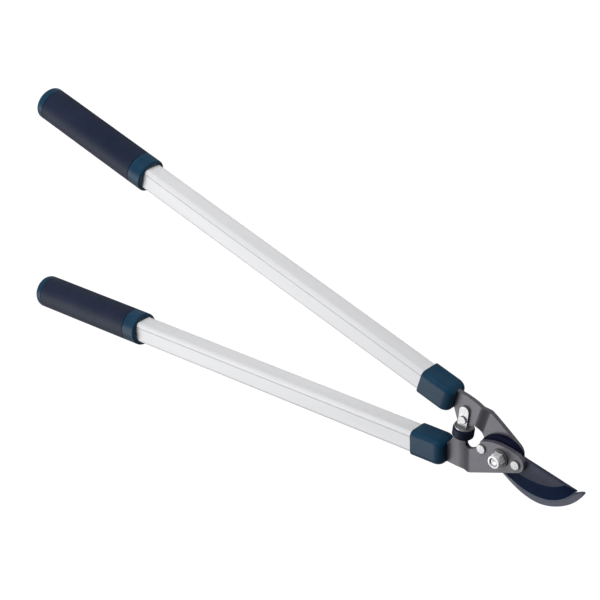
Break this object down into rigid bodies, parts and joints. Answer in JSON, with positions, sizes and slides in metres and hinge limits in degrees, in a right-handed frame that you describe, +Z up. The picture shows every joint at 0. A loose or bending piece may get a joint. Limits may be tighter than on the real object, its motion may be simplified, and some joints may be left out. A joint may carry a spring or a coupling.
{
  "type": "bypass loppers",
  "caption": "Long-handled bypass loppers with grey tube handles, rubber grips, a dark curved blade bolted against a steel hook, and a rubber bumper between the arms.",
  "frame": {"origin": "under the middle of the bounding box, at its base, with the tool lying flat and closed", "axes": "+X from the grips to the jaws, +Y towards the hook half's handle, +Z up along the pivot bolt towards its nut"},
  "size_m": [0.7075, 0.2708, 0.0356],
  "materials": {
    "aluminium_tube": "satin drawn tube",
    "pale_nylon": "plain moulded nylon",
    "zinc_steel": "bright zinc-plated steel",
    "teal_plastic": "semi-gloss moulded dark teal",
    "grip_rubber": "matte navy-black with a fine texture",
    "grey_paint": "speckled hammered grey",
    "dark_blade_steel": "dark non-stick coat with a ground edge",
    "bumper_rubber": "dense dark rubber"
  },
  "bodies": {
    "hook_half": {"upper_tube": "aluminium_tube", "upper_tang_insert": "pale_nylon", "upper_tang_pin": "zinc_steel", "upper_ferrule": "teal_plastic", "upper_grip_core": "teal_plastic", "upper_grip_sleeve": "grip_rubber", "upper_grip_end_cap": "teal_plastic", "upper_arm_hook": "grey_paint", "pivot_bolt": "zinc_steel", "pivot_bush": "zinc_steel", "pivot_washer": "zinc_steel", "pivot_nut": "zinc_steel", "bumper_bracket": "zinc_steel", "bracket_rivet": "zinc_steel", "bumper_disc": "zinc_steel", "bumper_rubber": "bumper_rubber", "bumper_stud": "zinc_steel"},
    "blade_half": {"lower_tube": "aluminium_tube", "lower_tang_insert": "pale_nylon", "lower_tang_pin": "zinc_steel", "lower_ferrule": "teal_plastic", "lower_grip_core": "teal_plastic", "lower_grip_sleeve": "grip_rubber", "lower_grip_end_cap": "teal_plastic", "lower_arm": "grey_paint", "cutting_blade": "dark_blade_steel", "blade_rivet_front": "zinc_steel", "blade_rivet_rear": "zinc_steel"}
  },
  "joints": [
    {"name": "jaw_pivot", "type": "hinge", "parent": "hook_half", "child": "blade_half", "pos_m": [0.2692, -0.001, 0.0178], "axis": [0, 0, 1], "range_deg": [0, 60]}
  ]
}
